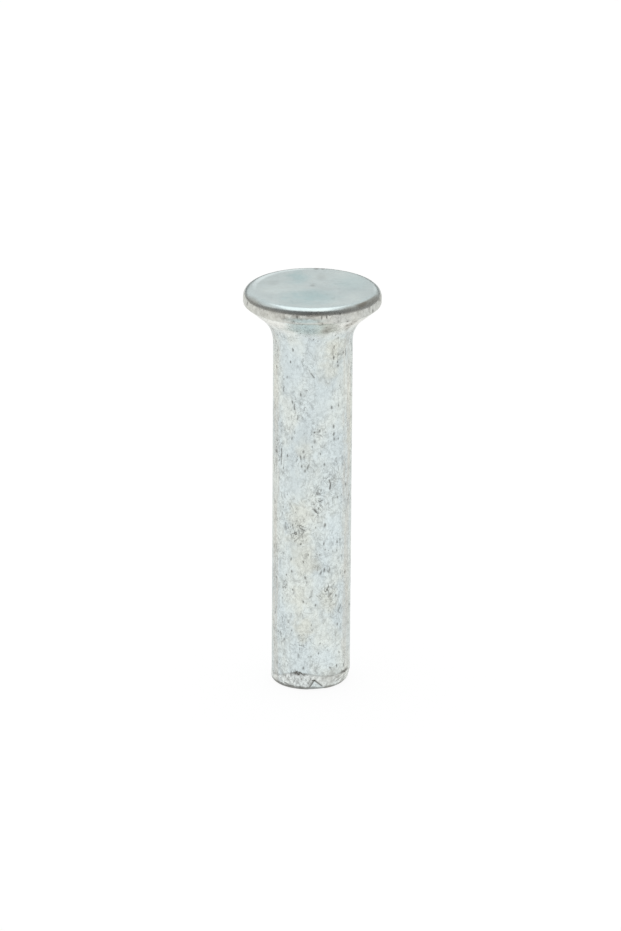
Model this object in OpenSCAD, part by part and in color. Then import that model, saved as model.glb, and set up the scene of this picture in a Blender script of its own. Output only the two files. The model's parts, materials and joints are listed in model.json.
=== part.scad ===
// Solid rivet: a flat disc head on a plain round shank, cold headed from one cropped length of
// steel wire and zinc plated. It stands on its tail, with the origin at the centre of the tail's
// end face and +Z along the shank, up through the head.

/* [Overall] */
// Length from the tail's end face to the top of the head
length = 42; // [30:0.5:80]

/* [Shank] */
// Diameter of the plain shank
shank_d = 8; // [6:0.1:9]

/* [Head] */
// Diameter of the head across its rim
head_d = 13.9; // [13:0.1:18]
// Radius of the rounded edge between the flat top and the rim
crown_round = 0.95; // [0.3:0.05:1.5]
// Height of the straight band round the rim
rim_band = 0.45; // [0.1:0.05:2]
// Radius of the small break under the rim
rim_break = 0.2; // [0.1:0.05:0.5]

/* [Flare] */
// Angle between the cone under the head and the shank's axis
flare_angle = 50; // [40:1:60]
// Radius of the hollow that blends the cone into the shank
flare_fillet = 3.55; // [1:0.05:5]

/* [Cropped tail] */
// Height, on the axis, of the crease that the cropping die left round the tail
nose_h = 1.45; // [0.8:0.05:3]
// Angle by which the nose below the crease narrows
nose_taper = 9; // [5:0.5:15]
// Lean of the nose towards -X, off the shank's axis
nose_lean = 4.5; // [0:0.5:4.5]
// Radius of the edge that the cut rolled over round the end face
tail_round = 0.6; // [0.2:0.05:0.8]

/* [Hidden] */

zinc = [0.80, 0.84, 0.84];

$fn = 96;

head_r = head_d / 2;
shank_r = shank_d / 2;

// Rim, read downwards from the top face
crown_z = length - crown_round;
band_z = crown_z - rim_band;

// Where the cone leaves the break under the rim
cone_top = [
    head_r - rim_break * (1 - cos(flare_angle)),
    band_z - rim_break * sin(flare_angle)
];

// Corner where the cone would meet the shank with no hollow
cone_slant = (cone_top.x - shank_r) / sin(flare_angle);
corner_z = cone_top.y - cone_slant * cos(flare_angle);

// The hollow touches the shank and the cone at this distance from the corner
fillet_reach = flare_fillet * tan(flare_angle / 2);
hollow_z = corner_z - fillet_reach;
hollow_centre = [shank_r + flare_fillet, hollow_z];
hollow_top = [
    shank_r + fillet_reach * sin(flare_angle),
    corner_z + fillet_reach * cos(flare_angle)
];

// How far the ring that the die pressed away runs past the tail on every side
relief_margin = 2;

// Half outline of the head and its flare: straight edges, then true arcs on the corners
module head_outline() {
    difference() {
        union() {
            polygon([
                [0, hollow_z],
                hollow_centre,
                hollow_top,
                cone_top,
                [head_r, band_z],
                [head_r, crown_z],
                [head_r - crown_round, length],
                [0, length]
            ]);
            corner_arc([head_r - crown_round, crown_z], crown_round, [0, 0]);
            corner_arc([head_r - rim_break, band_z], rim_break, [0, -1]);
        }
        translate(hollow_centre) circle(r = flare_fillet);
    }
}

// Quarter disc about a centre; side is its lower left corner, in radii
module corner_arc(centre, radius, side) {
    translate(centre)
        intersection() {
            circle(r = radius);
            translate(side * radius) square(radius);
        }
}

// Half outline of the shank, with the rolled edge round its end
module shank_outline() {
    translate([0, tail_round]) square([shank_r, hollow_z - tail_round]);
    square([shank_r - tail_round, tail_round]);
    corner_arc([shank_r - tail_round, tail_round], tail_round, [0, -1]);
}

// Ring of stock that the cropping die pressed away: what lies outside a leaning cone
module nose_relief() {
    high = relief_margin;
    low = -nose_h - relief_margin;
    outer_r = shank_r + 2 * relief_margin;
    translate([0, 0, nose_h])
        rotate([0, nose_lean, 0])
            rotate_extrude()
                polygon([
                    [shank_r + high * tan(nose_taper), high],
                    [shank_r + low * tan(nose_taper), low],
                    [outer_r, low],
                    [outer_r, high]
                ]);
}

// One forging: head, flare and shank on one axis, with its tail cropped
module rivet() {
    color(zinc)
        difference() {
            rotate_extrude() {
                head_outline();
                shank_outline();
            }
            nose_relief();
        }
}

rivet();
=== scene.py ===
import functools
import json
import math

import bpy
from mathutils import Matrix, Vector


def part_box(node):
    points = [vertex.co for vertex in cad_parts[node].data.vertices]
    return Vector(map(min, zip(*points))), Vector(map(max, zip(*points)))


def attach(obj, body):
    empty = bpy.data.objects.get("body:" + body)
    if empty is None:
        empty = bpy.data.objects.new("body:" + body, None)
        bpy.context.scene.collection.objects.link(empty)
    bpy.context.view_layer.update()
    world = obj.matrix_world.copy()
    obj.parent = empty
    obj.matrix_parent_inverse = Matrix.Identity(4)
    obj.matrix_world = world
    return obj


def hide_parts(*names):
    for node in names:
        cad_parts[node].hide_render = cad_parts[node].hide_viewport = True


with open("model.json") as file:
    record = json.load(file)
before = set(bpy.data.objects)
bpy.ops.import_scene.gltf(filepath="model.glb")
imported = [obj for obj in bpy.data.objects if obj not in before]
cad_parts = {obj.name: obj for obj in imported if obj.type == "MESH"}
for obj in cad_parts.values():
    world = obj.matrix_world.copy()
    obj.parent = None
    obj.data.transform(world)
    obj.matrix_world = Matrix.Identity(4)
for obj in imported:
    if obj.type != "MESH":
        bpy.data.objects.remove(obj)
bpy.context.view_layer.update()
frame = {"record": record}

# ---- The rivet -------------------------------------------------------------------------------
# One length of cropped steel wire, with a disc head and its flare upset on one end in a cold
# header, and all of it plated with bright zinc. A lathe tree turns its half outline round the
# Z axis, then nips, dents and scores it.

MM = 0.001
lowest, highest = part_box("rivet")
mounts = {mount["name"]: mount for mount in frame["record"]["mounts"]}
length = highest.z / MM
head_radius = (highest.x - lowest.x) / 2 / MM
shank_radius = mounts["shank"]["dims"]["r_mm"]

crown_round = 0.95
rim_band = 0.45
rim_break = 0.2
flare_angle = math.radians(50)
hollow_radius = 3.55
# The edge of the end alone: the nose's crease and taper are worked in later
tail_round = 0.27
# The head was struck a little to the left of the shank
head_shift = -0.087

rim_corner = length - crown_round - rim_band - rim_break * math.tan(flare_angle / 2)
neck_corner = rim_corner - (head_radius - shank_radius) / math.tan(flare_angle)

# Corners of the half outline, from the tail's centre to the head's: radius, height, rounding
corners = [
    (0, 0, 0),
    (shank_radius, 0, tail_round),
    (shank_radius, neck_corner, hollow_radius),
    (head_radius, rim_corner, rim_break),
    (head_radius, length, crown_round),
    (0, length, 0),
]


class Wire:
    """One output of a node. Sums on it add Math nodes to its tree, so a formula reads as one."""

    def __init__(self, socket):
        self.socket = socket
        self.tree = socket.id_data

    def output(self, name):
        return Wire(self.socket.node.outputs[name])

    def maths(self, operation, *terms):
        """A Math node with these terms, in this wire's tree."""
        return node(self.tree, "ShaderNodeMath", {"operation": operation}, dict(enumerate(terms)))

    def __add__(self, other):
        return self.maths("ADD", self, other)

    def __radd__(self, other):
        return self.maths("ADD", other, self)

    def __sub__(self, other):
        return self.maths("SUBTRACT", self, other)

    def __rsub__(self, other):
        return self.maths("SUBTRACT", other, self)

    def __mul__(self, other):
        return self.maths("MULTIPLY", self, other)

    def __rmul__(self, other):
        return self.maths("MULTIPLY", other, self)

    def __truediv__(self, other):
        return self.maths("DIVIDE", self, other)

    def __abs__(self):
        return self.maths("ABSOLUTE", self)

    def least(self, other):
        return self.maths("MINIMUM", self, other)

    def most(self, other):
        return self.maths("MAXIMUM", self, other)


def node(tree, kind, settings, sockets, out=0):
    """Adds one node to the tree: its settings first, then its sockets' values or wires."""
    made = tree.nodes.new(kind)
    for name, value in settings.items():
        setattr(made, name, value)
    for name, value in sockets.items():
        if isinstance(value, Wire):
            tree.links.new(value.socket, made.inputs[name])
        else:
            made.inputs[name].default_value = value
    return Wire(made.outputs[out])


def rise(value, start, end, low=0.0, high=1.0):
    """Low up to start, high past end, and a smooth slope between them."""
    sockets = {"Value": value, "From Min": start, "From Max": end, "To Min": low, "To Max": high}
    return node(value.tree, "ShaderNodeMapRange", {"interpolation_type": "SMOOTHSTEP"}, sockets)


def vector_maths(operation, where, other, out="Vector"):
    """A Vector Math node; out is "Value" where its answer is a single number."""
    return node(where.tree, "ShaderNodeVectorMath", {"operation": operation}, {0: where, 1: other}, out)


def scaled(where, factor):
    return node(where.tree, "ShaderNodeVectorMath", {"operation": "SCALE"}, {0: where, "Scale": factor})


def times(where, x, y, z):
    return vector_maths("MULTIPLY", where, (x, y, z))


def added(where, other):
    return vector_maths("ADD", where, other)


def size_of(where):
    return node(where.tree, "ShaderNodeVectorMath", {"operation": "LENGTH"}, {0: where}, out="Value")


def split(where):
    x = node(where.tree, "ShaderNodeSeparateXYZ", {}, {0: where})
    return x, x.output("Y"), x.output("Z")


def join(x, y, z):
    return node(x.tree, "ShaderNodeCombineXYZ", {}, {0: x, 1: y, 2: z})


def noise(where, per_mm, detail=2.0, roughness=0.5):
    """Soft noise from 0 to 1, with about per_mm lumps in a millimetre."""
    sockets = {"Vector": where, "Scale": per_mm, "Detail": detail, "Roughness": roughness}
    return node(where.tree, "ShaderNodeTexNoise", {}, sockets)


def pits(where, per_mm, radius, share):
    """Round hollows of mixed sizes, 1 at their middle and 0 outside. Share is how many of the
    points have one, and radius is their middling size in millimetres."""
    sockets = {"Vector": where, "Scale": per_mm}
    near = node(where.tree, "ShaderNodeTexVoronoi", {"voronoi_dimensions": "3D"}, sockets)
    chance, size, _ = split(near.output("Color"))
    reach = radius * per_mm * (0.4 + size * 1.2)
    return (1 - rise(near, 0, reach)) * chance.maths("LESS_THAN", chance, share)


def hairlines(where, per_mm, width):
    """Thin wandering lines, 1 along them, broken into short lengths. Width is in millimetres."""
    level = noise(where, per_mm, detail=1)
    broken = rise(noise(where, per_mm * 0.9, detail=1), 0.52, 0.6)
    return (1 - rise(abs(level - 0.5), 0, width * per_mm)) * broken


def mark_group(tree, name, vectors, numbers):
    """An empty node group for one kind of mark, with its inputs and its one output named."""
    group = bpy.data.node_groups.new(name, tree)
    for label in vectors:
        group.interface.new_socket(label, in_out="INPUT", socket_type="NodeSocketVector")
    for label in numbers:
        group.interface.new_socket(label, in_out="INPUT", socket_type="NodeSocketFloat")
    group.interface.new_socket("Mark", in_out="OUTPUT", socket_type="NodeSocketFloat")
    return group, node(group, "NodeGroupInput", {}, {})


def finished(group, mark):
    """Leads the worked-out mark to the group's output."""
    last = group.nodes.new("NodeGroupOutput")
    group.links.new(mark.socket, last.inputs["Mark"])
    return group


@functools.cache
def patch_group(tree):
    group, skin = mark_group(tree, "patch", ["Skin", "Place", "Size"], ["Strength"])
    offset = vector_maths("SUBTRACT", skin, skin.output("Place"))
    share = size_of(vector_maths("DIVIDE", offset, skin.output("Size")))
    return finished(group, rise(share, 0.2, 1.2, skin.output("Strength"), 0))


@functools.cache
def stroke_group(tree):
    group, skin = mark_group(tree, "stroke", ["Skin", "Start", "Run"], ["Width", "Strength"])
    run = skin.output("Run")
    offset = vector_maths("SUBTRACT", skin, skin.output("Start"))
    along = vector_maths("DOT_PRODUCT", offset, run, "Value")
    whole = vector_maths("DOT_PRODUCT", run, run, "Value")
    nearest = scaled(run, (along / whole).least(1).most(0))
    across = vector_maths("DISTANCE", offset, nearest, "Value")
    return finished(group, rise(across, 0, skin.output("Width"), skin.output("Strength"), 0))


def used(flat, group, sockets):
    """One node of a mark's group, in the tree where the skin is laid flat."""
    kind = flat.tree.bl_idname
    settings = {"node_tree": group(kind)}
    return node(flat.tree, kind.replace("Tree", "Group"), settings, {"Skin": flat, **sockets})


def patch(flat, arc, height, wide, tall, strength=1.0):
    """A soft spot on the laid-flat skin, strongest in its middle and 0 past its outline."""
    sockets = {"Place": (arc, height, 0), "Size": (wide, tall, 1), "Strength": strength}
    return used(flat, patch_group, sockets)


def stroke(flat, start, end, width, strength=1.0):
    """A fine line on the laid-flat skin, strongest along it and 0 past its width."""
    run = (end[0] - start[0], end[1] - start[1], 0)
    sockets = {"Start": (*start, 0), "Run": run, "Width": width, "Strength": strength}
    return used(flat, stroke_group, sockets)


def laid_flat(where):
    """The skin unrolled, in millimetres: round the shank from its front, and up from the end.
    Past the head's edge, up runs on over the face towards its middle."""
    x, y, z = split(where)
    arc = x.maths("ARCTAN2", x, y * -1) * shank_radius
    from_edge = (head_radius - crown_round / 2 - size_of(times(where, 1, 1, 0))).most(0)
    up = z + from_edge * rise(z, length - crown_round, length - crown_round / 2)
    return join(arc, up, 0), arc, z


# The crease that the cropping die left above the end face, as steps round the shank:
# where each starts and ends, and how much higher the crease lies after it
crease_low = 0.95
crease_steps = [(-4.6, -1.2, 0.88), (-0.9, 2.2, -0.42), (4.2, 7.2, -0.46)]
crease_wander = 0.25
crease_width = 0.2
crease_depth = 0.045
# How far round from the front the groove runs at full depth, and where it has died out
groove_runs, groove_ends = 4.5, 6.0
# The nose below the crease leans in on the right, where the die pressed hardest
nose_taper = 0.09
nose_side_taper = 0.15

# A chip with two straight edges, broken out of the end at the front
chip_top = (0.38, 1.12)
chip_feet = [(-0.12, 0.3), (1.2, 0.42)]
chip_depth = 0.07
chip_edge = 0.18
chip_wall = 0.08
# Where the painted shade along the end's bottom edge is widest and darkest
end_shade_widest = (-2.0, 0.2, 3.2, 0.9)

# Strokes left by handling: start, end, width and strength
strokes = [
    ((-0.06, 2.84), (2.88, 3.45), 0.08, 0.3),
    ((0.48, 4.0), (1.43, 3.25), 0.07, 0.25),
    ((-3.53, 25.7), (-3.5, 24.9), 0.14, 0.9),
    ((-3.5, 24.8), (-3.56, 24.0), 0.12, 0.6),
    ((1.8, 22.8), (1.95, 22.3), 0.15, 0.8),
    ((1.95, 22.2), (1.88, 21.8), 0.17, 1.0),
    ((-0.5, 24.1), (-0.3, 24.5), 0.15, 0.8),
    ((-1.15, 25.4), (-1.12, 25.0), 0.17, 0.8),
    ((0.3, 19.7), (0.5, 19.45), 0.2, 0.9),
    ((0.5, 19.4), (0.75, 19.3), 0.12, 0.5),
    ((-1.35, 16.6), (-1.0, 17.1), 0.13, 0.7),
    ((-1.0, 17.0), (-0.75, 17.5), 0.12, 0.6),
    ((-1.8, 16.2), (-0.9, 16.9), 0.09, 0.5),
    ((-0.8, 17.0), (0.2, 17.1), 0.08, 0.4),
    ((-0.2, 34.3), (0.1, 33.9), 0.16, 0.7),
    ((-1.85, 30.8), (-1.87, 30.3), 0.17, 0.8),
    ((-1.5, 29.7), (-1.53, 29.3), 0.15, 0.6),
    ((1.98, 30.6), (2.0, 30.4), 0.17, 0.7),
    ((0.24, 28.02), (0.28, 28.0), 0.16, 1.0),
    ((-0.6, 32.4), (-0.58, 32.4), 0.17, 0.6),
    ((-3.3, 32.3), (-3.28, 32.0), 0.17, 0.7),
    ((-1.95, 10.9), (-1.94, 10.85), 0.13, 1.0),
    ((0.13, 11.0), (0.08, 10.4), 0.1, 0.5),
    ((0.08, 10.3), (-0.15, 10.15), 0.12, 0.6),
    ((3.2, 8.7), (3.1, 8.35), 0.14, 0.7),
    ((3.1, 8.3), (3.3, 8.1), 0.12, 0.5),
    ((3.8, 36.2), (3.85, 35.6), 0.14, 0.6),
    ((3.2, 3.9), (3.3, 3.8), 0.2, 0.5),
    ((2.0, 2.4), (2.1, 2.3), 0.16, 0.7),
    ((-0.27, 0.8), (-0.22, 0.78), 0.17, 1.0),
    ((0.25, 1.1), (0.5, 1.08), 0.15, 1.2),
    ((-0.97, 1.2), (-0.93, 1.17), 0.15, 0.8),
    ((3.0, 0.6), (4.3, 0.98), 0.11, 0.8),
    ((3.2, 0.95), (3.9, 1.2), 0.1, 0.5),
    ((2.4, 0.75), (3.1, 1.2), 0.1, 0.4),
    ((-2.9, 0.5), (-2.5, 0.35), 0.16, 0.8),
    ((-2.5, 1.1), (-2.3, 0.8), 0.1, 0.4),
    ((-1.4, 0.9), (-1.2, 0.6), 0.1, 0.4),
]


def above_crease(where, arc, z):
    """Height above the crease, negative on the nose."""
    crease = crease_low + (noise(where, per_mm=1.1, detail=3) - 0.5) * crease_wander
    for start, end, step in crease_steps:
        crease = crease + rise(arc, start, end) * step
    return z - crease


def chip_sides(flat):
    """The chip's floor, 1 between its two edges, and the edges themselves."""
    left, right = (stroke(flat, chip_top, foot, chip_edge) for foot in chip_feet)
    x, y, _ = split(added(flat, (-chip_top[0], -chip_top[1], 0)))
    floor = y.maths("LESS_THAN", y, 0)
    for foot, side in zip(chip_feet, (1, -1)):
        slope = (foot[0] - chip_top[0]) / (foot[1] - chip_top[1])
        floor = floor * rise((x - y * slope) * side, 0, chip_wall)
    return floor, left.most(right)


def strongest(marks):
    """Whichever of several marks is the strongest at each point."""
    worst = marks[0]
    for mark in marks[1:]:
        worst = worst.most(mark)
    return worst


def all_strokes(flat):
    return strongest([stroke(flat, *place) for place in strokes])


def lathe_tree():
    """Turns the outline that the modifier sits on round Z, then nips, dents and scores its skin."""
    tree = bpy.data.node_groups.new("rivet_lathe", "GeometryNodeTree")
    sockets = [
        ("Outline", "NodeSocketGeometry", None),
        ("Turned Steps", "NodeSocketInt", 224),
        ("Length Steps", "NodeSocketInt", 440),
        ("Dent Depth", "NodeSocketFloat", 0.02),
        ("Pit Depth", "NodeSocketFloat", 0.03),
        ("Stroke Depth", "NodeSocketFloat", 0.02),
        ("Finish", "NodeSocketMaterial", None),
    ]
    for name, kind, value in sockets:
        socket = tree.interface.new_socket(name, in_out="INPUT", socket_type=kind)
        if value is not None:
            socket.default_value = value
    tree.interface.new_socket("Rivet", in_out="OUTPUT", socket_type="NodeSocketGeometry")
    outline = node(tree, "NodeGroupInput", {}, {})

    curve = node(tree, "GeometryNodeMeshToCurve", {}, {"Mesh": outline})
    rounding = node(tree, "GeometryNodeInputNamedAttribute", {"data_type": "FLOAT"}, {"Name": "rounding"})
    rounded = {"Curve": curve, "Count": 24, "Radius": rounding, "Limit Radius": True}
    curve = node(tree, "GeometryNodeFilletCurve", {"mode": "POLY"}, rounded)

    steps = {"Size X": 1, "Size Y": 1}
    steps["Vertices X"] = outline.output("Turned Steps")
    steps["Vertices Y"] = outline.output("Length Steps")
    sheet = node(tree, "GeometryNodeMeshGrid", {}, steps)
    place = node(tree, "GeometryNodeInputPosition", {}, {})
    across, along, _ = split(place)
    sampling = {"Curves": curve, "Factor": along + 0.5}
    radius, _, height = split(node(tree, "GeometryNodeSampleCurve", {}, sampling, out="Position"))
    angle = (across + 0.5) * math.tau
    turned = join(radius * angle.maths("COSINE", angle), radius * angle.maths("SINE", angle), height)
    skin = node(tree, "GeometryNodeSetPosition", {}, {"Geometry": sheet, "Position": turned})
    skin = node(tree, "GeometryNodeMergeByDistance", {}, {"Geometry": skin, "Distance": 0.001 * MM})

    where = scaled(place, 1 / MM)
    x, y, _ = split(where)
    flat, arc, z = laid_flat(where)
    lift = above_crease(where, arc, z)
    squeeze = nose_taper + (arc / shank_radius).maths("SINE", arc / shank_radius) * nose_side_taper
    nip = (lift * -1).most(0) * squeeze
    grooved = 1 - rise(abs(arc), groove_runs, groove_ends)
    groove = (1 - rise(abs(lift), 0, crease_width)) * grooved * crease_depth
    floor, edges = chip_sides(flat)
    chip = floor.most(edges) * chip_depth
    inward = (nip + groove + chip) * (-MM / shank_radius)
    shift = rise(z, neck_corner - hollow_radius, rim_corner) * head_shift * MM
    worked = join(x * inward + shift, y * inward, 0)
    skin = node(tree, "GeometryNodeSetPosition", {}, {"Geometry": skin, "Offset": worked})

    on_shank = 1 - rise(z, neck_corner, rim_corner)
    dents = (noise(where, per_mm=0.45, detail=2) - 0.5) * outline.output("Dent Depth")
    hollows = pits(times(where, 1, 1, 0.5), per_mm=0.8, radius=0.25, share=0.35)
    hollows = hollows * outline.output("Pit Depth") * on_shank
    marks = all_strokes(flat) * outline.output("Stroke Depth") * on_shank
    normal = node(tree, "GeometryNodeInputNormal", {}, {})
    outward = scaled(normal, (dents - hollows - marks) * MM)
    skin = node(tree, "GeometryNodeSetPosition", {}, {"Geometry": skin, "Offset": outward})
    skin = node(tree, "GeometryNodeSetShadeSmooth", {}, {"Geometry": skin})
    skin = node(tree, "GeometryNodeRealizeInstances", {}, {"Geometry": skin})
    skin = node(tree, "GeometryNodeSetMaterial", {}, {"Geometry": skin, "Material": outline.output("Finish")})
    last = tree.nodes.new("NodeGroupOutput")
    tree.links.new(skin.socket, last.inputs["Rivet"])
    return tree


# Zinc takes its cast from the depth of its coat: pale blue or straw on the drawn shank, with grey painted
# shade down its sides, paler on the flare, deeper on the face. Dirt fills its hollows, grime lies on top,
# painted shade lines the crease and the end's edge, and painted highlights and a painted reflection lie on
# the head.
blue_zinc = (0.675, 0.75, 0.76, 1)
straw_zinc = (0.722, 0.738, 0.662, 1)
# Warm grey, for the rim and for the painted shade down the shank's sides
grey_zinc = (0.6, 0.575, 0.515, 1)
pale_zinc = (0.90, 0.91, 0.87, 1)
# Pale sky blue: the painted reflection on the flare, the painted highlights at the face's edge, and the
# chip's floor
sky_zinc = (0.86, 0.96, 0.97, 1)
face_zinc = (0.525, 0.605, 0.61, 1)
teal_zinc = (0.425, 0.57, 0.585, 1)
# Dark dirt, also used for the painted shade in the crease and along the end's edge
dirt_and_shade = (0.10, 0.095, 0.085, 1)
grime = (0.24, 0.21, 0.165, 1)

# Straw patches on the shank, then blue ones: place round the shank, height, width, length, strength
straw_patches = [
    (2.3, 36.8, 1.7, 1.9, 0.9),
    (1.8, 34.6, 1.8, 2.0, 0.65),
    (-4.8, 32.5, 1.0, 5.5, 0.7),
    (5.0, 29.0, 1.0, 9.0, 0.8),
    (-0.8, 26.0, 1.2, 1.6, 0.5),
    (-1.0, 19.0, 2.3, 2.4, 0.75),
    (-1.2, 16.6, 2.1, 1.8, 0.7),
    (-0.8, 14.2, 2.0, 3.0, 0.75),
    (-5.0, 15.0, 0.8, 2.2, 0.5),
    (-1.3, 10.0, 1.6, 3.2, 0.75),
    (-0.8, 6.9, 1.5, 2.0, 0.8),
    (1.9, 9.8, 1.8, 2.0, 0.7),
    (5.0, 9.0, 1.0, 6.5, 0.5),
    (0.5, 7.0, 1.2, 1.4, 0.5),
]
blue_patches = [
    (-2.2, 35.0, 2.2, 2.6, 0.9),
    (0.6, 31.0, 2.4, 2.4, 0.7),
    (2.2, 25.8, 1.6, 2.6, 0.9),
    (-3.4, 22.0, 1.4, 3.0, 0.6),
    (2.4, 17.2, 1.9, 3.2, 1.0),
    (0.8, 12.0, 1.0, 1.2, 0.5),
    (-4.0, 8.0, 1.6, 3.6, 0.9),
    (-1.2, 3.8, 2.6, 1.8, 0.8),
    (1.6, 3.6, 2.4, 1.8, 0.8),
]
# Grime that handling left on the rim, under the head and beside the crease
grime_patches = [
    (-1.3, 41.0, 1.2, 0.3, 0.6),
    (-0.3, 40.8, 1.0, 0.25, 0.6),
    (-2.9, 40.9, 1.6, 0.5, 0.25),
    (0.0, 41.15, 0.8, 0.25, 0.6),
    (2.2, 41.2, 1.2, 0.4, 0.3),
    (5.4, 41.3, 1.0, 0.4, 0.4),
    (2.9, 39.6, 0.8, 0.9, 0.8),
    (0.35, 40.45, 0.35, 0.25, 0.5),
    (2.3, 1.2, 1.5, 1.3, 0.5),
    (-1.6, 1.0, 3.0, 1.0, 0.16),
]
# Smooth dark films: on the rounded edge above the rim, then on the flare
film_patches = [
    (4.2, 41.7, 2.0, 0.33, 0.75),
    (3.4, 41.72, 1.1, 0.3, 0.95),
    (2.4, 41.67, 1.2, 0.2, 0.6),
    (-4.3, 41.65, 1.2, 0.28, 0.45),
    (1.0, 39.3, 0.45, 1.0, 0.5),
    (1.0, 39.2, 0.2, 0.4, 0.7),
]
# Painted reflection of the shank in the flare: a pale blue patch at the front of the flare, and a teal tint
# on the rim above it
painted_flare_reflection = (-0.5, 39.4, 1.6, 1.5)
painted_rim_reflection = (-0.5, 40.8, 1.4, 0.35, 0.6)
# Where the painted shade in the crease spreads wider
crease_shade_spreads = [(-1.2, 1.85, 1.1, 0.7), (4.2, 1.65, 1.0, 0.8)]
# Spots on the head's face: place across and along it, size each way, strength
face_spots = [
    (-0.08, 0.6, 0.36, 0.5, 0.3),
    (-4.1, 1.4, 0.9, 1.1, 0.16),
    (0.8, 3.3, 0.7, 1.5, 0.16),
    (0.3, 6.0, 0.3, 0.5, 0.6),
    (0.95, 5.9, 0.25, 0.4, 0.5),
    (1.35, -2.2, 0.18, 0.4, 0.12),
    (2.0, -3.5, 0.3, 0.5, 0.15),
]
# Pools of deeper colour on the head's face
face_pools = [
    (-0.3, -3.0, 3.3, 2.9, 1.0),
    (-1.6, 3.1, 1.4, 2.6, 0.9),
    (3.9, 1.6, 2.4, 3.4, 0.45),
]
# Painted highlights: pale crescents just inside the edge of the head's face
painted_edge_highlights = [
    (-8.4, 42.55, 2.4, 0.4, 0.8),
    (-11.0, 42.5, 2.2, 0.4, 0.7),
    (6.8, 42.2, 1.6, 0.3, 0.4),
]
# Where marks crowd together on the shank, and where its skin stayed smooth
crowds = [
    (2.6, 36.5, 1.6, 1.6, 0.45),
    (-4.2, 33.2, 1.0, 1.2, 0.6),
    (-1.6, 29.9, 0.8, 1.0, 0.9),
    (0.6, 28.0, 0.9, 0.9, 1.0),
    (-3.4, 27.8, 1.2, 1.4, 0.7),
    (-4.2, 25.4, 1.0, 2.2, 1.0),
    (-1.1, 24.8, 1.2, 1.0, 0.7),
    (2.0, 22.9, 1.3, 1.4, 1.0),
    (1.0, 20.8, 2.2, 1.6, 0.9),
    (0.5, 19.4, 0.8, 1.2, 1.0),
    (-1.4, 17.4, 1.8, 1.6, 1.0),
    (1.0, 16.2, 1.4, 1.0, 0.6),
    (-4.2, 14.2, 1.0, 1.6, 0.8),
    (-2.8, 10.9, 0.9, 1.0, 0.8),
    (1.8, 10.6, 1.5, 1.4, 1.0),
    (2.6, 8.8, 1.4, 1.2, 0.8),
    (-2.8, 7.4, 0.9, 1.0, 0.8),
    (-3.8, 5.6, 1.4, 1.2, 0.9),
    (-0.8, 5.4, 0.9, 1.6, 0.9),
    (-1.6, 0.9, 3.6, 0.8, 0.9),
    (4.2, 0.8, 1.8, 0.8, 1.0),
]
calm_patches = [
    (-1.0, 36.8, 2.2, 1.4, 1.0),
    (-2.6, 34.6, 1.4, 2.4, 1.0),
    (3.2, 33.4, 1.2, 1.4, 0.7),
    (0.9, 31.2, 1.4, 2.0, 0.7),
    (-1.2, 27.2, 1.3, 1.8, 0.9),
    (-1.8, 22.6, 1.0, 2.8, 0.9),
    (2.4, 18.2, 0.9, 1.2, 0.6),
    (-1.8, 14.4, 1.0, 1.4, 0.8),
    (0.3, 10.8, 0.9, 2.4, 0.6),
    (1.8, 3.4, 1.4, 1.0, 0.6),
]
# Warm grey painted shade in streaks down both sides of the shank, towards its outline as seen from the front:
# place, width
side_shade_runs = [(4.2, 0.9), (-4.6, 0.9)]
# How much of the zinc each kind of dirt hides, and how far the painted shade in the crease and along the
# end's edge hides it
pit_cover = 0.92
chip_cover = 0.85
crease_shade_cover = 0.85
end_shade_cover = 0.8
grime_cover = 0.8


def blend(first, second, share):
    return node(share.tree, "ShaderNodeMix", {"data_type": "RGBA"}, {0: share, 6: first, 7: second}, out=2)


def patched(flat, patches):
    return strongest([patch(flat, *place) for place in patches])


class Skin:
    """The skin as its finish is laid on: places in millimetres, noises, and zones from 0 to 1."""

    def __init__(self, tree):
        self.where = scaled(node(tree, "ShaderNodeTexCoord", {}, {}, out="Object"), 1 / MM)
        swirl = {"Vector": self.where, "Scale": 0.8, "Detail": 2}
        self.waver = added(node(tree, "ShaderNodeTexNoise", {}, swirl, out="Color"), (-0.5, -0.5, -0.5))
        self.flat, self.arc, self.z = laid_flat(self.where)
        self.loose, _, _ = laid_flat(self.wavered(2.4))
        x, y, _ = split(self.where)
        self.face = join(x, y, 0)
        self.lift = above_crease(self.where, self.arc, self.z)
        self.cloud = noise(times(self.where, 1, 1, 0.6), per_mm=0.3, detail=3)
        self.grain = noise(times(self.where, 1, 1, 0.75), per_mm=2.2, detail=5, roughness=0.75)
        self.on_head = rise(self.z, neck_corner - 1.0, rim_corner)
        self.on_top = rise(self.z, length - 0.6, length - 0.1)
        self.on_shank = 1 - self.on_head
        self.under_head = self.on_head - self.on_top
        self.on_nose = 1 - rise(self.lift, -0.1, 0.05)
        self.off_end = rise(self.z, 0, 0.05)
        # Where the painted reflection of the shank lies on the flare
        self.flare_reflection = patch(self.loose, *painted_flare_reflection)
        self.calm = patched(self.loose, calm_patches)

    def wavered(self, reach):
        """The places, moved about by the slow swirl."""
        return added(self.where, scaled(self.waver, reach))


def shank_colour(skin):
    """Pale blue with straw patches, and warm grey painted shade in streaks down both sides."""
    straw = rise(skin.cloud, 0.4, 0.65) * 0.5
    straw = straw.most(patched(skin.loose, straw_patches) * skin.on_shank)
    straw = straw * (1 - patched(skin.loose, blue_patches) * skin.on_shank)
    zinc = blend(blue_zinc, straw_zinc, straw)
    sway = (noise(skin.where, per_mm=0.7, detail=2) - 0.5) * 1.2
    # Painted shade: warm grey down both sides of the shank, broken into streaks
    runs = [1 - rise(abs(skin.arc - place + sway), 0.3, width) for place, width in side_shade_runs]
    streaks = rise(noise(times(skin.where, 1, 1, 0.05), per_mm=3.0, detail=3), 0.3, 0.6)
    return blend(zinc, grey_zinc, strongest(runs) * streaks * skin.on_shank * 0.5)


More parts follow.
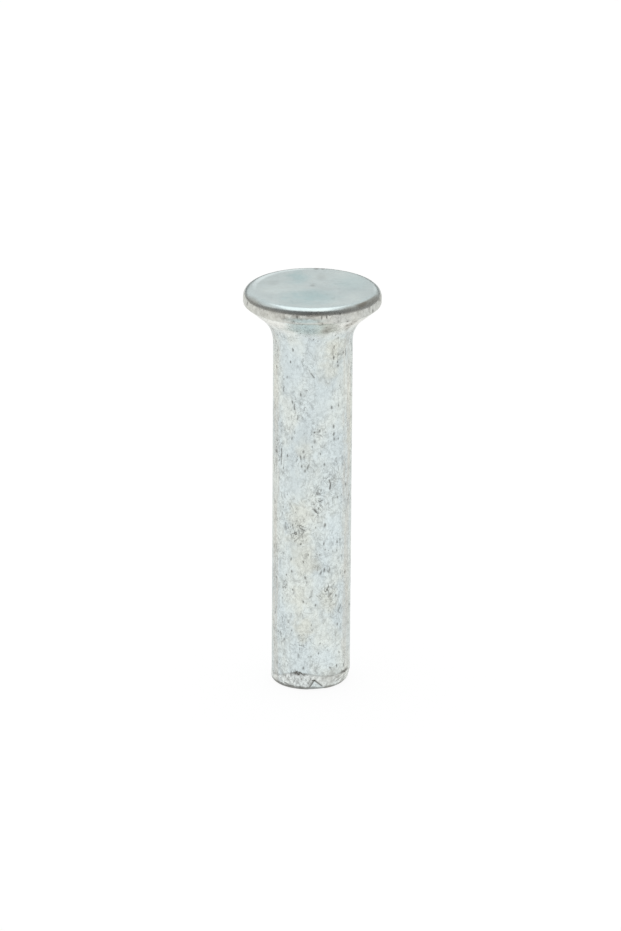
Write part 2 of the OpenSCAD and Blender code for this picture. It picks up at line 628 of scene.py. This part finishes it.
def head_colour(skin, zinc):
    """Grey rim with a teal painted reflection at its front, glossy mottled face with its pools and painted
    highlights at its edge, and the pale flare with a painted reflection at its front.
    """
    above_flare = rise(skin.z, rim_corner - 0.35, rim_corner - 0.05)
    rimmed = above_flare - skin.on_top
    zinc = blend(zinc, grey_zinc, rimmed * 0.6)
    # Painted reflection: a teal tint on the front of the rim
    zinc = blend(zinc, teal_zinc, patch(skin.flat, *painted_rim_reflection) * rimmed)
    mottle = rise(noise(skin.where, per_mm=0.8, detail=5, roughness=0.65), 0.4, 0.62)
    zinc = blend(zinc, face_zinc, skin.on_top * (0.78 + mottle * 0.09))
    pools = patched(added(skin.face, scaled(skin.waver, 2.0)), face_pools)
    zinc = blend(zinc, teal_zinc, skin.on_top * pools * (0.78 + mottle * 0.18))
    # Painted highlights just inside the edge of the head's face
    zinc = blend(zinc, sky_zinc, patched(skin.flat, painted_edge_highlights))
    flared = rise(skin.z, neck_corner - 0.3, neck_corner + 1.7) - above_flare
    zinc = blend(zinc, pale_zinc, flared)
    # Painted reflection: a pale blue patch at the front of the flare
    return blend(zinc, sky_zinc, skin.flare_reflection * flared)


def grained(skin, zinc):
    """Fine light and dark grain, coarsest on the drawn shank, and slow clouds over it all."""
    coarse = (
        skin.on_shank * 1.25 * (1 - skin.calm * 0.5)
        # Less grain inside the flare's painted reflection
        + skin.under_head * 0.7 * (1 - skin.flare_reflection * 0.8)
        + skin.on_top * 0.3
        + skin.on_nose * 1.1
    )
    return scaled(zinc, 1.01 + (skin.grain - 0.5).least(0.06) * coarse + (skin.cloud - 0.5) * 0.4)


def worn_marks(skin):
    """Pits, hairlines, scrawls and strokes, crowded in some places and sparse in others."""
    busy = rise(noise(skin.where, per_mm=0.5, detail=3), 0.42, 0.66) * 0.5 * (1 - skin.calm)
    busy = busy.most(patched(skin.flat, crowds))
    bent = times(skin.wavered(0.5), 1, 1, 0.5)
    small_pits = pits(bent, per_mm=2.4, radius=0.13, share=0.25 + busy * 0.45)
    large_pits = pits(times(skin.where, 1, 1, 0.55), per_mm=0.8, radius=0.18, share=0.25)
    long_hairs = hairlines(bent, per_mm=1.5, width=0.022) * (0.35 + busy * 0.75)
    short_hairs = hairlines(bent, per_mm=2.8, width=0.02) * (0.15 + busy * 0.85)
    squiggle = noise(skin.wavered(0.6), per_mm=2.0, detail=2)
    squiggle = 1 - rise(abs(squiggle - 0.5), 0, 0.07)
    scrawl = squiggle * (0.14 + busy * 0.24) * (1 - skin.calm * 0.6)
    handled = all_strokes(added(skin.flat, scaled(skin.waver, 0.35)))
    marks = [small_pits * 0.85, large_pits, long_hairs.most(short_hairs) * 0.8, scrawl, handled]
    return strongest(marks) * (1 - skin.on_top * 0.8)


def crease_and_end_shade(skin):
    """Painted shade in the crease, ragged and spread wider in places, and painted shade along the bottom edge
    of the end, where it meets the table.
    """
    # Painted shade along the crease, ragged and spread wider in places
    shade_widening = patched(skin.flat, crease_shade_spreads)
    ragged = abs(skin.lift + (skin.grain - 0.5) * (0.4 + shade_widening * 1.2))
    crease = (1 - rise(ragged, 0, crease_width * (0.8 + shade_widening))) * (0.4 + shade_widening * 0.8)
    # Painted shade along the end's bottom edge, widest at the lower left
    end_shade_widening = patch(skin.flat, *end_shade_widest)
    reach = skin.z + (skin.grain - 0.5) * 0.6 - end_shade_widening * 0.1
    end_shade = (1 - rise(reach, 0.2, 0.46)) * (0.75 + end_shade_widening * 0.25)
    return crease, end_shade


def caked_grime(skin):
    """Grime: broken up where it clings to the skin, and smooth where it dried as a film."""
    spread = noise(times(skin.where, 1, 1, 1.4), per_mm=1.9, detail=4, roughness=0.65)
    spread = 0.45 + rise(spread, 0.34, 0.66) * 0.55
    film = patched(added(skin.flat, scaled(skin.waver, 0.3)), film_patches)
    return (patched(skin.loose, grime_patches) * spread).most(film)


def zinc_finish():
    """Bright zinc plate: its colour, the dirt on it, its painted shade, highlights and reflection, its relief
    and its gloss.
    """
    finish = bpy.data.materials.new("zinc_plate")
    finish.use_nodes = True
    tree = finish.node_tree
    tree.nodes.clear()
    skin = Skin(tree)
    zinc = grained(skin, blend(head_colour(skin, shank_colour(skin)), pale_zinc, skin.on_nose * 0.4))

    worn = worn_marks(skin)
    caked = caked_grime(skin)
    floor, edges = chip_sides(skin.flat)
    crease, end_shade = crease_and_end_shade(skin)
    spots = patched(skin.face, face_spots) * skin.on_top
    zinc = blend(zinc, grime, (caked * grime_cover).least(1) * skin.off_end)
    zinc = blend(zinc, sky_zinc, floor * 0.6 * skin.off_end)
    # The chip's dark edges, and painted shade along the crease and the end's bottom edge
    lined = strongest([edges * chip_cover, crease * crease_shade_cover, end_shade * end_shade_cover])
    zinc = blend(zinc, dirt_and_shade, strongest([worn * pit_cover, lined, spots]).least(1))

    relief = (skin.grain - 0.5) * (skin.on_shank * 0.05 + skin.on_head * 0.008)
    relief = relief - worn * 0.02 * skin.on_shank
    bumped = node(tree, "ShaderNodeBump", {}, {"Distance": MM, "Height": relief})
    sockets = {
        "Metallic": 1.0,
        "Roughness": 0.17 + skin.grain * 0.1 + worn * 0.3 + caked * 0.4,
        "Base Color": zinc,
        "Specular Tint": (0.88, 0.88, 0.86, 1),
        "Normal": bumped,
    }
    shader = node(tree, "ShaderNodeBsdfPrincipled", {}, sockets)
    last = tree.nodes.new("ShaderNodeOutputMaterial")
    tree.links.new(shader.socket, last.inputs["Surface"])
    return finish


def turn_rivet():
    """The finished piece as a plain mesh, with no modifier left on it."""
    drawn = bpy.data.meshes.new("outline")
    places = [(radius * MM, 0, height * MM) for radius, height, _ in corners]
    drawn.from_pydata(places, [(i, i + 1) for i in range(len(corners) - 1)], [])
    rounding = drawn.attributes.new("rounding", "FLOAT", "POINT")
    for item, (_, _, size) in zip(rounding.data, corners):
        item.value = size * MM
    blank = bpy.data.objects.new("blank", drawn)
    bpy.context.collection.objects.link(blank)
    lathe = blank.modifiers.new("lathe", "NODES")
    lathe.node_group = lathe_tree()
    sockets = {item.name: item.identifier for item in lathe.node_group.interface.items_tree}
    lathe[sockets["Finish"]] = zinc_finish()
    seen = bpy.context.evaluated_depsgraph_get()
    ready = blank.evaluated_get(seen)
    turned = bpy.data.meshes.new_from_object(ready, preserve_all_data_layers=True, depsgraph=seen)
    bpy.data.objects.remove(blank)
    return turned


rivet = bpy.data.objects.new("zinc_plated_rivet", turn_rivet())
bpy.context.collection.objects.link(rivet)
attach(rivet, "root")
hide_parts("rivet")

# ---- The table -------------------------------------------------------------------------------
# A plain table top, painted white, wide enough to fill every view from above. The rivet
# stands on it loose.

table_half = 1.5
# How far the table lies below the rivet's end, so that the two never share one plane
table_gap = 0.00002
paint_white = (0.9, 0.9, 0.9, 1)
# How bright the evenly lit white is, and how far it hides the paint's own shade
even_level = 1.05
glare = 0.85


def white_top():
    """White paint that the camera and the metal see as lit evenly, with the shadow kept faintly."""
    paint = bpy.data.materials.new("table_paint")
    paint.use_nodes = True
    tree = paint.node_tree
    tree.nodes.clear()
    path = node(tree, "ShaderNodeLightPath", {}, {})
    seen = path.most(path.output("Is Glossy Ray")).most(path.output("Is Transmission Ray"))
    plain = node(tree, "ShaderNodeBsdfDiffuse", {}, {"Color": paint_white})
    even = node(tree, "ShaderNodeEmission", {}, {"Strength": even_level})
    mixed = node(tree, "ShaderNodeMixShader", {}, {0: seen * glare, 1: plain, 2: even})
    last = tree.nodes.new("ShaderNodeOutputMaterial")
    tree.links.new(mixed.socket, last.inputs["Surface"])
    return paint


top = bpy.data.meshes.new("table")
sides = [(-1, -1), (1, -1), (1, 1), (-1, 1)]
top.from_pydata([(x * table_half, y * table_half, -table_gap) for x, y in sides], [], [(0, 1, 2, 3)])
top.materials.append(white_top())
table = bpy.data.objects.new("table", top)
bpy.context.collection.objects.link(table)

# ---- The light -------------------------------------------------------------------------------
# A white tent closes over the table from behind, open and dim on the camera's side, with one
# wide soft box in its roof. Only what mirrors can tell the tent's parts apart.

# What the metal mirrors: the tent's cloth, its open side, and how much paler that is at its ends
tent_level = 1.06
dim_level = 0.13
dim_ends = 0.2
# What everything else is lit by
fill_level = 0.75

world = bpy.data.worlds.new("tent")
world.use_nodes = True
bpy.context.scene.world = world
room = world.node_tree
room.nodes.clear()
path = node(room, "ShaderNodeLightPath", {}, {})
mirrored = path.output("Is Glossy Ray").most(path.output("Is Transmission Ray"))
side, depth, height = split(node(room, "ShaderNodeTexCoord", {}, {}, out="Generated"))
cloth = rise(depth + 1.2 * height, 0.75, 0.91) * rise(height, 0.08, 0.24)
skirt = 1 - rise(height + 0.2 * depth, 0.0, 0.12)
dim = dim_level + abs(side) * dim_ends
tent = dim + (tent_level - height * 0.2 - dim) * cloth.most(skirt)
level = path + (1 - path.most(mirrored)) * fill_level + mirrored * tent
glow = node(room, "ShaderNodeBackground", {}, {"Color": (1, 1, 1, 1), "Strength": level})
last = room.nodes.new("ShaderNodeOutputWorld")
room.links.new(glow.socket, last.inputs["Surface"])

box_level = 0.7
soft_box = bpy.data.lights.new("soft_box", "AREA")
soft_box.shape = "RECTANGLE"
soft_box.size = 0.52
soft_box.size_y = 0.58
soft_box.energy = box_level * math.pi * soft_box.size * soft_box.size_y
lamp = bpy.data.objects.new("soft_box", soft_box)
lamp.location = (-0.05, 0.10, 0.65)
lamp.visible_camera = False
bpy.context.collection.objects.link(lamp)

# ---- The camera ------------------------------------------------------------------------------
# Looks down on the rivet from the front, through a long lens that keeps the shank's sides
# nearly upright.

camera_distance = 0.590
camera_elevation = math.radians(20.304)
camera_roll = math.radians(0.39)
focal_pixels = 5832.5
picture_height = 931
aim = Vector((-0.000163, 0, 0.023))
lens = bpy.data.cameras.new("camera")
lens.sensor_width = 36
lens.lens = lens.sensor_width * focal_pixels / picture_height
lens.clip_start = 0.01
eye = aim + camera_distance * Vector((0, -math.cos(camera_elevation), math.sin(camera_elevation)))
camera = bpy.data.objects.new("camera", lens)
camera.matrix_world = (
    Matrix.Translation(eye)
    @ Matrix.Rotation(math.pi / 2 - camera_elevation, 4, "X")
    @ Matrix.Rotation(camera_roll, 4, "Z")
)
bpy.context.collection.objects.link(camera)
bpy.context.scene.camera = camera
bpy.context.scene.view_settings.view_transform = "Standard"
